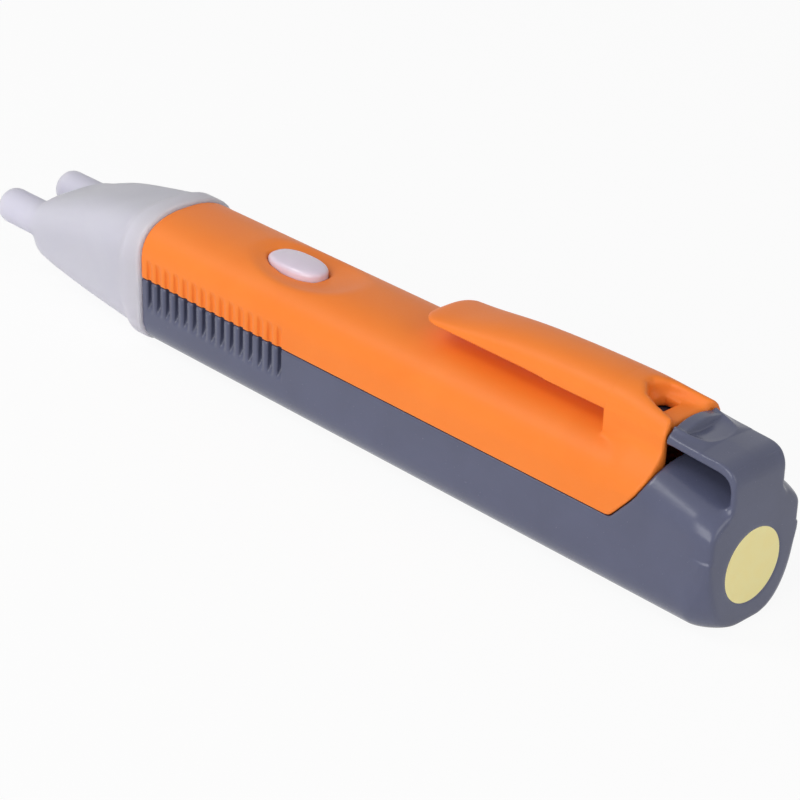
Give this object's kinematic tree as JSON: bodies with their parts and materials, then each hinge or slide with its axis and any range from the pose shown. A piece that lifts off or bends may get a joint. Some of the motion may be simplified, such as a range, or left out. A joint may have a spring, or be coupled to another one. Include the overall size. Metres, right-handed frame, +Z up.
{
  "type": "non contact voltage tester",
  "caption": "Pen-shaped non-contact voltage tester with a forked translucent nose, a torch button, a pocket clip and a battery tray that slides out at the tail.",
  "frame": {"origin": "middle of the tester's footprint, on the flat underside it rests on", "axes": "+X along the body from the forked nose to the tail, +Z up through the pocket clip, +Y to the tester's side"},
  "size_m": [0.155, 0.0198, 0.0281],
  "materials": {
    "frosted_nose": "frosted translucent plastic",
    "orange_abs": "satin moulded plastic",
    "grey_abs": "satin moulded plastic",
    "white_button": "glossy translucent plastic",
    "yellow_label": "matte printed film",
    "board_laminate": "solder mask",
    "black_moulding": "matte",
    "white_moulding": "matte",
    "ceramic_body": "matte",
    "red_lens": "clear tinted epoxy",
    "clear_lens": "clear epoxy",
    "copper_wire": "bare",
    "tinned_wire": "tinned",
    "nickel_steel": "nickel plated",
    "zinc_steel": "zinc plated",
    "sleeved_can": "printed film sleeve"
  },
  "bodies": {
    "housing": {"upper_shell": "orange_abs", "nose_lens": "frosted_nose", "circuit_board": "board_laminate", "board_screws": "zinc_steel", "sensor_fork": "copper_wire", "alarm_led": "red_lens", "torch_led": "clear_lens", "led_leads": "tinned_wire", "buzzer": "black_moulding", "buzzer_pins": "tinned_wire", "logic_chip": "black_moulding", "chip_legs": "tinned_wire", "chip_resistors": "black_moulding", "chip_capacitors": "ceramic_body", "can_capacitor": "sleeved_can", "transistors": "black_moulding", "switch_body": "black_moulding", "switch_legs": "tinned_wire", "positive_contact": "nickel_steel", "negative_wiper": "nickel_steel"},
    "tray": {"battery_tray": "grey_abs", "front_cell": "sleeved_can", "rear_cell": "sleeved_can", "cell_caps": "nickel_steel", "tail_spring": "nickel_steel", "spring_plate": "nickel_steel", "return_strip": "nickel_steel", "inspection_sticker": "yellow_label"},
    "tongue": {"latch_tongue": "grey_abs"},
    "clip": {"pocket_clip": "orange_abs"},
    "button": {"torch_button": "white_button", "switch_plunger": "white_moulding"}
  },
  "joints": [
    {"name": "tray_slide", "type": "slide", "parent": "housing", "child": "tray", "axis": [1, 0, 0], "range_m": [0, 0.09]},
    {"name": "tongue_press", "type": "hinge", "parent": "tray", "child": "tongue", "pos_m": [0.0758, 0, 0.0234], "axis": [0, -1, 0], "range_deg": [0, 7], "stiffness_Nm_per_rad": 0.4},
    {"name": "clip_lift", "type": "hinge", "parent": "housing", "child": "clip", "pos_m": [0.0546, 0, 0.0281], "axis": [0, 1, 0], "range_deg": [0, 6], "stiffness_Nm_per_rad": 2},
    {"name": "button_press", "type": "slide", "parent": "housing", "child": "button", "axis": [0, 0, -1], "range_m": [0, 0.0006], "stiffness_N_per_m": 400}
  ]
}
